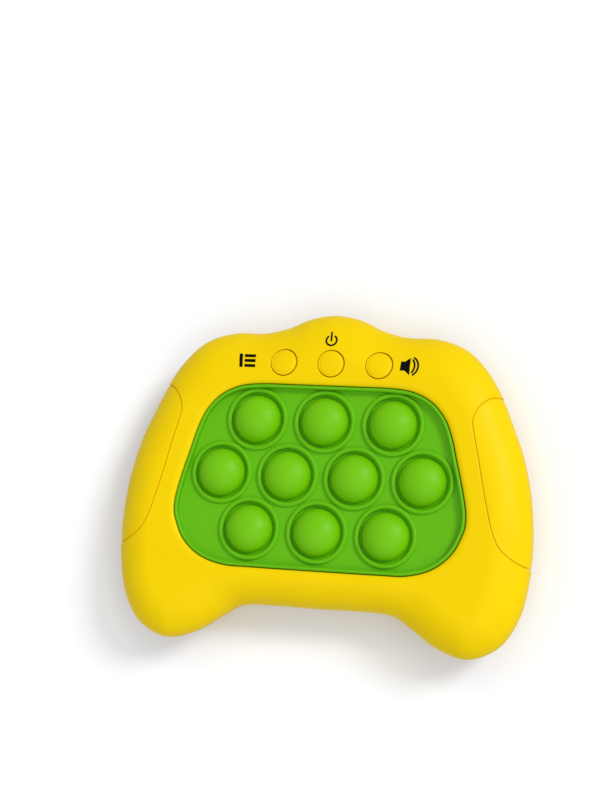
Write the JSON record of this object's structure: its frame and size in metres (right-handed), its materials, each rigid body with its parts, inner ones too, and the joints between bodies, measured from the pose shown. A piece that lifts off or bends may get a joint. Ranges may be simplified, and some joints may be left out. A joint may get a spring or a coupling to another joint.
{
  "type": "electronic bubble pop game",
  "caption": "Handheld electronic game shaped like a game pad, with a silicone mat of press bubbles over a lit board, small push buttons, a speaker and a battery door.",
  "frame": {"origin": "on the flat back face, under the middle of the casing's box", "axes": "+Z out of the front face with the bubbles, +Y to the edge with the three buttons, +X to the player's right"},
  "size_m": [0.1366, 0.1078, 0.0274],
  "materials": {
    "yellow_plastic": "satin moulded ABS, bright yellow",
    "green_silicone": "soft matte silicone, leaf green",
    "bubble_silicone": "soft satin silicone, lime green, lets light through",
    "board_laminate": "green solder mask on glass laminate",
    "led_white": "white housing with a pale yellow face",
    "black_plastic": "black moulded resin",
    "white_plastic": "natural white moulded plastic",
    "zinc_steel": "zinc-plated steel",
    "ferrite": "dull dark grey ferrite",
    "speaker_paper": "pressed black paper",
    "battery_jacket": "plain printed metal jacket",
    "red_lead": "soft PVC insulation, red",
    "black_lead": "soft PVC insulation, black"
  },
  "bodies": {
    "casing": {"battery_1": "battery_jacket", "battery_2": "battery_jacket", "battery_3": "battery_jacket", "battery_wire_black": "black_lead", "battery_wire_red": "red_lead", "bridge_contact_left": "zinc_steel", "bridge_contact_right": "zinc_steel", "bubble_mat": "green_silicone", "case_screw_1": "zinc_steel", "case_screw_2": "zinc_steel", "case_screw_3": "zinc_steel", "case_screw_4": "zinc_steel", "case_screw_5": "zinc_steel", "case_screw_6": "zinc_steel", "controller_chip": "black_plastic", "front_shell": "yellow_plastic", "led_1": "led_white", "led_10": "led_white", "led_2": "led_white", "led_3": "led_white", "led_4": "led_white", "led_5": "led_white", "led_6": "led_white", "led_7": "led_white", "led_8": "led_white", "led_9": "led_white", "left_grip_panel": "yellow_plastic", "main_board": "board_laminate", "mat_clamp_frame": "white_plastic", "menu_switch": "black_plastic", "negative_terminal_spring": "zinc_steel", "positive_terminal": "zinc_steel", "power_switch": "black_plastic", "rear_shell": "yellow_plastic", "right_grip_panel": "yellow_plastic", "sound_switch": "black_plastic", "speaker_cone": "speaker_paper", "speaker_frame": "zinc_steel", "speaker_magnet": "ferrite", "speaker_wire_black": "black_lead", "speaker_wire_red": "red_lead"},
    "bubble_1": {"bubble_1": "bubble_silicone"},
    "bubble_2": {"bubble_2": "bubble_silicone"},
    "bubble_3": {"bubble_3": "bubble_silicone"},
    "bubble_4": {"bubble_4": "bubble_silicone"},
    "bubble_5": {"bubble_5": "bubble_silicone"},
    "bubble_6": {"bubble_6": "bubble_silicone"},
    "bubble_7": {"bubble_7": "bubble_silicone"},
    "bubble_8": {"bubble_8": "bubble_silicone"},
    "bubble_9": {"bubble_9": "bubble_silicone"},
    "bubble_10": {"bubble_10": "bubble_silicone"},
    "menu_button": {"menu_button": "yellow_plastic", "menu_switch_plunger": "white_plastic"},
    "power_button": {"power_button": "yellow_plastic", "power_switch_plunger": "white_plastic"},
    "sound_button": {"sound_button": "yellow_plastic", "sound_switch_plunger": "white_plastic"},
    "battery_door": {"battery_door": "yellow_plastic", "battery_door_screw": "zinc_steel"}
  },
  "joints": [
    {"name": "bubble_1_press", "type": "slide", "parent": "casing", "child": "bubble_1", "axis": [0, 0, -1], "range_m": [0, 0.0032], "stiffness_N_per_m": 500},
    {"name": "bubble_2_press", "type": "slide", "parent": "casing", "child": "bubble_2", "axis": [0, 0, -1], "range_m": [0, 0.0032], "stiffness_N_per_m": 500},
    {"name": "bubble_3_press", "type": "slide", "parent": "casing", "child": "bubble_3", "axis": [0, 0, -1], "range_m": [0, 0.0032], "stiffness_N_per_m": 500},
    {"name": "bubble_4_press", "type": "slide", "parent": "casing", "child": "bubble_4", "axis": [0, 0, -1], "range_m": [0, 0.0032], "stiffness_N_per_m": 500},
    {"name": "bubble_5_press", "type": "slide", "parent": "casing", "child": "bubble_5", "axis": [0, 0, -1], "range_m": [0, 0.0032], "stiffness_N_per_m": 500},
    {"name": "bubble_6_press", "type": "slide", "parent": "casing", "child": "bubble_6", "axis": [0, 0, -1], "range_m": [0, 0.0032], "stiffness_N_per_m": 500},
    {"name": "bubble_7_press", "type": "slide", "parent": "casing", "child": "bubble_7", "axis": [0, 0, -1], "range_m": [0, 0.0032], "stiffness_N_per_m": 500},
    {"name": "bubble_8_press", "type": "slide", "parent": "casing", "child": "bubble_8", "axis": [0, 0, -1], "range_m": [0, 0.0032], "stiffness_N_per_m": 500},
    {"name": "bubble_9_press", "type": "slide", "parent": "casing", "child": "bubble_9", "axis": [0, 0, -1], "range_m": [0, 0.0032], "stiffness_N_per_m": 500},
    {"name": "bubble_10_press", "type": "slide", "parent": "casing", "child": "bubble_10", "axis": [0, 0, -1], "range_m": [0, 0.0032], "stiffness_N_per_m": 500},
    {"name": "menu_press", "type": "slide", "parent": "casing", "child": "menu_button", "axis": [0, 0, -1], "range_m": [0, 0.0008], "stiffness_N_per_m": 1500},
    {"name": "power_press", "type": "slide", "parent": "casing", "child": "power_button", "axis": [0, 0, -1], "range_m": [0, 0.0008], "stiffness_N_per_m": 1500},
    {"name": "sound_press", "type": "slide", "parent": "casing", "child": "sound_button", "axis": [0, 0, -1], "range_m": [0, 0.0008], "stiffness_N_per_m": 1500},
    {"name": "battery_door_hinge", "type": "hinge", "parent": "casing", "child": "battery_door", "pos_m": [0, 0.0194, 0], "axis": [1, 0, 0], "range_deg": [0, 60]}
  ]
}
